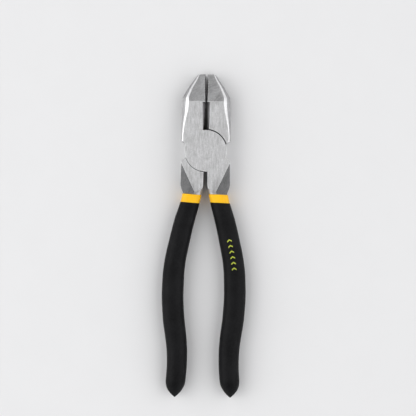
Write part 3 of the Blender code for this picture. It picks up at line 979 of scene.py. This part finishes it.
def faceFinish(centre, normal):
    # which grind a face of a half has, from where it is and where it looks
    x, y, z = centre
    up = abs(normal.z)
    disc, zone = joint["discRadius"], nearness["zone"]
    if up > facing["flat"]:
        # flat faces off the ground planes are the lap faces, painted dark as shade
        return "groundFace" if abs(abs(z) - halfThickness) < nearness["plane"] else "lapFace"
    if up > facing["nose"] and y > jawLength - jaw["noseLength"] - zone and abs(z) > halfThickness / 2:
        return "noseFace"
    if (Vector((normal.x, normal.y, up)) - facetNormal()).length < nearness["facet"]:
        return "forgedFacet"
    if normal.y > facing["tipAhead"] and y > jawLength - zone:
        return "forgedSide"                 # the blunt ends of the jaws
    if abs(x) < jaw["cutterWidth"] + zone and up < facing["gripMost"] and y > disc:
        # painted shade: the jaws' inner faces, apart from the cutters
        return "cutter" if up > facing["cutterLeast"] and y < jawLength - jaw["cutterTop"] else "gripFace"
    # painted shade in the slot between the shanks
    if y < -disc and normal.x < -facing["slotIn"]:
        return "slotWall"
    if y > disc / 4 and x < 0 and up > facing["edgeLeast"]:
        return "chamfer" if up > facing["chamferLeast"] else "forgedEdge"
    radius = math.hypot(x, y)
    inward = -(x * normal.x + y * normal.y) / radius
    start, finish = nearness["recess"]
    if inward > facing["recessIn"] and disc + start < radius < disc + finish:
        return "gripFace"                   # painted shade: the recess round the disc is painted near black
    return "forgedSide"


def steelHalf(lever):
    proud = halfThickness + proudFace / 2
    bm = bmesh.new()
    bmesh.ops.create_cone(bm, cap_ends=True, segments=joint["segments"], radius1=joint["discRadius"],
                          radius2=joint["discRadius"], depth=2 * proud)
    half = meshObject(lever["side"] + "HalfSteel", bm)
    blank = jawBlank()
    combine(blank, [notchTool(-1)], "DIFFERENCE")
    combine(half, [blank, shankBlank(lever)], "UNION")
    bore = meshObject("bore", turned(rivetProfile(rivet["gap"], proudFace), rivet["segments"]))
    combine(half, [
        faceTool(1), faceTool(-1), noseTool(1), noseTool(-1),
        lapTool(joint["discRadius"] + joint["jawGap"], 1),
        lapTool(joint["discRadius"] + joint["shankGap"], -1),
        cutterTool(1), cutterTool(-1), teethTool(), gripEdgeTool(1), gripEdgeTool(-1), bore,
    ], "DIFFERENCE")
    half.data.materials.clear()
    for finish in finishOrder:
        half.data.materials.append(steelFinishes[finish])
    for face in half.data.polygons:
        face.material_index = finishOrder.index(faceFinish(face.center, face.normal))
    return softenEdges(half, joint["edgeRadius"], finishOrder.index("rubbedEdge"))


def makeSteel(lever):
    half = carry(steelHalf(lever), lever["place"])
    print("steel half:", half.name, len(half.data.polygons), "faces")
    return finishPiece(half, lever["body"], "ground_steel", lever["half"])


def makeRivet():
    piece = meshObject("pivotRivetSteel", turned(rivetProfile(0.0, 0.0), rivet["segments"]))
    piece.data.materials.append(steelFinishes["groundFace"])
    softenEdges(piece, rivet["edgeRadius"], -1)
    print("rivet:", len(piece.data.polygons), "faces")
    return finishPiece(carry(piece, rearPlace), "rear_lever", "rivet_steel", "pivot_rivet")


# the two vinyl coats: a first dip that shows as a band, and a thicker second dip over it
coats = {
    "points": 120,
    "ringGap": 1.4 * mm,
    "endRings": 26,
    "bandSet": 0.12 * mm,                   # the band lies this far under the handle's skin
    "bandTop": 0.05 * mm,                   # and starts this far under the dip line
    "bandRoll": 0.35 * mm,                  # rounding at its top edge
    "bandStart": 1.0 * mm,                  # where its plain stretch starts
    "bandRings": 5,
    "bandStep": (0.30 * mm, 0.35 * mm),     # past the grip's edge, where it steps in under the grip
    "bandUnder": 0.2 * mm,                  # gap between the band and the inside of the grip
    "gripLip": 0.55 * mm,                   # rounding at the grip's top edge
    "gripWall": 1.1 * mm,
    "mouthStart": 0.6 * mm,                 # the flare of the grip's inside at its top edge
    "mouthEnd": 0.2 * mm,
    "mouthFlare": 0.3 * mm,
    "overlap": 5.0 * mm,                    # the band runs this far on inside the grip
    "levelFade": 14.0 * mm,                 # the rings go from level to square over this
    "sharpAngle": math.radians(50),
}


def coatMesh(name, lever, rings, tip=None):
    # rings are (place down the handle, how proud of its skin, shrink); tip closes the end
    sections = []
    for s, proud, shrink in rings:
        level = 1 - ease((s - bandHeight - coats["overlap"]) / coats["levelFade"])
        section = []
        for k in range(coats["points"]):
            angle = math.tau * (k + 0.5) / coats["points"]
            shift = level * dipPlaneShift(s, lever, angle, proud) if level > 0 else 0.0
            section.append(handleSkin(s + shift, angle, proud, shrink))
        sections.append(section)
    if tip is not None:
        sections.append([(*handleMiddle(tip), 0.0)])
    piece = meshObject(name, loft(sections))
    piece.data.shade_smooth()
    piece.data.set_sharp_from_angle(angle=coats["sharpAngle"])
    return carry(piece, lever["place"])


def rolledEdge(s, proud, radius, count=5):
    # a quarter turn from the flat end of a coat out to its side
    return [(s + radius * (1 - math.cos(a)), proud - radius * (1 - math.sin(a)), 1.0)
            for a in (math.pi / 2 * k / count for k in range(count + 1))]


def makeBand(lever):
    proud = -coats["bandSet"]
    under = -coats["gripWall"] - coats["bandUnder"]
    count = coats["bandRings"]
    stepTop, stepFoot = coats["bandStep"]
    rings = rolledEdge(coats["bandTop"], proud, coats["bandRoll"])
    rings += [(mix(coats["bandStart"], bandHeight, k / count), proud, 1.0) for k in range(count + 1)]
    rings += [(bandHeight + stepTop, proud, 1.0), (bandHeight + stepFoot, under, 1.0),
              (bandHeight + coats["overlap"] - mm, under, 1.0)]
    band = coatMesh(lever["side"] + "Band", lever, rings)
    band.data.materials.append(yellowDip)
    return finishPiece(band, lever["body"], "yellow_vinyl", lever["side"] + "_underdip")


def makeGrip(lever):
    inner = -coats["gripWall"]
    bottom = bandHeight + coats["overlap"]
    rings = [(bottom, inner, 1.0), (bandHeight + coats["mouthStart"], inner, 1.0),
             (bandHeight + coats["mouthEnd"], inner + coats["mouthFlare"], 1.0)]
    rings += rolledEdge(bandHeight, 0.0, coats["gripLip"])
    start, finish = bandHeight + 2 * coats["gripLip"], gripLength - handle["endRounding"]
    count = round((finish - start) / coats["ringGap"])
    rings += [(mix(start, finish, k / count), 0.0, 1.0) for k in range(count + 1)]
    for k in range(1, coats["endRings"]):
        share = math.sin(math.pi / 2 * k / coats["endRings"])
        rings.append((finish + handle["endRounding"] * share, 0.0, 1 - share ** handle["endPower"]))
    grip = coatMesh(lever["side"] + "Grip", lever, rings, tip=gripLength)
    grip.data.materials.append(blackDip)
    print("grip:", grip.name, len(grip.data.polygons), "faces")
    return finishPiece(grip, lever["body"], "black_vinyl", lever["side"] + "_grip")


# a plain printed row of chevrons down the right grip
mark = {
    "count": 6,
    "start": 32.0 * mm,
    "length": 19.5 * mm,
    "width": 3.2 * mm,
    "rise": 1.1 * mm,
    "stroke": 0.95 * mm,
    "filmThickness": 0.06 * mm,
    "steps": 8,                             # squares along each arm
    "rows": 3,                              # squares across it
    "pathSteps": 40,
}


def pathTree():
    # the copies stand along a path, each turned with it
    tree, given, copies = copiesTree("copiesOnPath", [("Path", "NodeSocketObject")])
    add, link = tree.nodes.new, tree.links.new
    path, points = add("GeometryNodeObjectInfo"), add("GeometryNodeCurveToPoints")
    turn = add("FunctionNodeAlignEulerToVector")
    turn.axis = "Y"
    turn.pivot_axis = "Z"
    link(given["Path"], path.inputs["Object"])
    link(path.outputs["Geometry"], points.inputs["Curve"])
    link(given["Count"], points.inputs["Count"])
    link(points.outputs["Tangent"], turn.inputs["Vector"])
    link(points.outputs["Points"], copies["Points"])
    link(turn.outputs["Rotation"], copies["Rotation"])
    return tree


def chevronShape():
    # a flat V, cut into small squares so that it can lie down on the round grip
    bm = bmesh.new()
    columns, rows = [], mark["rows"]
    for k in range(-mark["steps"], mark["steps"] + 1):
        x = mark["width"] / 2 * k / mark["steps"]
        y = mark["rise"] * (0.5 - abs(k) / mark["steps"])
        columns.append([bm.verts.new((x, y + mark["stroke"] * (j / rows - 0.5), 0)) for j in range(rows + 1)])
    for left, right in zip(columns, columns[1:]):
        for j in range(rows):
            bm.faces.new((left[j], right[j], right[j + 1], left[j + 1]))
    return meshObject("chevron", bm)


def makeMark(lever, grip):
    top = handle["gripThickness"]
    curve = bpy.data.curves.new("markPath", "CURVE")
    curve.dimensions = "3D"
    line = curve.splines.new("POLY")
    line.points.add(mark["pathSteps"])
    for k, point in enumerate(line.points):
        x, y = handleMiddle(mark["start"] + mark["length"] * (1 - k / mark["pathSteps"]))
        point.co = (*(lever["place"] @ Vector((x, y, top))), 1.0)
    path = bpy.data.objects.new("markPath", curve)
    bpy.context.scene.collection.objects.link(path)
    chevron = chevronShape()
    piece = meshObject("gripMark", bmesh.new())
    setOut(piece, pathTree(), {"Path": path, "Shape": chevron, "Count": mark["count"], "Finish": limePrint})
    settle = piece.modifiers.new("settle", "SHRINKWRAP")
    settle.target = grip
    settle.wrap_method = "PROJECT"
    settle.use_project_z = True
    settle.use_negative_direction = True
    settle.use_positive_direction = False
    settle.offset = mark["filmThickness"]
    film = piece.modifiers.new("film", "SOLIDIFY")
    film.thickness = mark["filmThickness"] * 2
    film.offset = -1
    baked(piece)
    discard(path, chevron)
    print("mark:", mark["count"], "chevrons")
    return finishPiece(piece, lever["body"], "yellow_vinyl")


studio = {
    "floorSize": 3.0,
    "floorDrop": 0.05 * mm,
    "floorSquares": 24,
    "floorPatches": 40.0,
    "floorShades": (0.697, 0.703),
    "floorRough": (0.75, 0.85),
    "floorSpecular": 0.1,
    "floorGrain": 0.0005 * mm,
    "lens": 150.0,
    "sensor": 36.0,
    "clip": (0.01, 20.0),
    "view": 287.5 * mm,                     # width of the view at the face of the head
    "camera": (2.14 * mm, -39.5 * mm),
    "lean": math.radians(0.8),
    "sky": (1.34, 1.34, 1.36),              # soft panels to the left and the right
    "seam": (0.18, 0.36),                   # the panels fade in between these, so none is right overhead
    "horizon": (0.60, 0.36),                # a weaker glow all round fades in down to this height
    "glow": 0.55,
    # name, place, width, length, watts; each looks at the middle of the tool
    "lights": (
        ("leftPanel", (-0.95, 0.0, 1.6), 1.0, 2.4, 7.0),
        ("rightPanel", (0.95, 0.0, 1.6), 1.0, 2.4, 5.5),
        ("leftWindow", (-1.5, 0.1, 0.75), 0.9, 1.6, 3.2),
    ),
}


def makeFloor():
    squares, size = studio["floorSquares"], studio["floorSize"] / 2
    bm = bmesh.new()
    bmesh.ops.create_grid(bm, x_segments=squares, y_segments=squares, size=size)
    bmesh.ops.translate(bm, vec=(0, 0, -studio["floorDrop"]), verts=bm.verts)
    floor = meshObject("floor", bm)
    finish = Finish("paleFloor")
    paper = finish.effect(mottle, Scale=studio["floorPatches"])
    low, high = studio["floorShades"]
    colour = finish.blend(paper["Patches"], (low,) * 3, (high,) * 3)
    rough = finish.between(paper["Specks"], *studio["floorRough"])
    finish.shader.inputs["Specular IOR Level"].default_value = studio["floorSpecular"]
    floor.data.materials.append(finish.wire(colour, rough, paper["Specks"], studio["floorGrain"]))


def makeStudio():
    scene = bpy.context.scene
    scene.view_settings.view_transform = "Standard"
    world = bpy.data.worlds.new("studio")
    world.use_nodes = True
    sky = world.node_tree
    aim = sky.nodes.new("ShaderNodeTexCoord")
    split = sky.nodes.new("ShaderNodeSeparateXYZ")
    sky.links.new(aim.outputs["Generated"], split.inputs["Vector"])
    panels = spread(sky, maths(sky, "ABSOLUTE", split.outputs["X"]), *studio["seam"])
    glow = maths(sky, "MULTIPLY", spread(sky, split.outputs["Z"], *studio["horizon"]), studio["glow"])
    sky.nodes["Background"].inputs["Color"].default_value = (*studio["sky"], 1.0)
    sky.links.new(maths(sky, "MAXIMUM", panels, glow), sky.nodes["Background"].inputs["Strength"])
    scene.world = world
    middle = Vector((0, studio["camera"][1], 0))
    for name, place, width, length, watts in studio["lights"]:
        lamp = bpy.data.lights.new(name, "AREA")
        lamp.shape = "RECTANGLE"
        lamp.size, lamp.size_y = width, length
        lamp.energy = watts
        obj = bpy.data.objects.new(name, lamp)
        scene.collection.objects.link(obj)
        obj.location = place
        obj.rotation_euler = (middle - Vector(place)).to_track_quat("-Z", "Y").to_euler()
    camera = bpy.data.cameras.new("camera")
    camera.lens, camera.sensor_width = studio["lens"], studio["sensor"]
    camera.clip_start, camera.clip_end = studio["clip"]
    eye = bpy.data.objects.new("camera", camera)
    scene.collection.objects.link(eye)
    height = studio["view"] * studio["lens"] / studio["sensor"] + headThickness
    eye.location = (*studio["camera"], height)
    eye.rotation_euler = (0, 0, studio["lean"])
    scene.camera = eye


makeRivet()
for lever in levers:
    makeSteel(lever)
    makeBand(lever)
    grip = makeGrip(lever)
    if lever["side"] == "right":
        makeMark(lever, grip)
makeFloor()
makeStudio()
print("studio: ready")

bpy.context.view_layer.update()
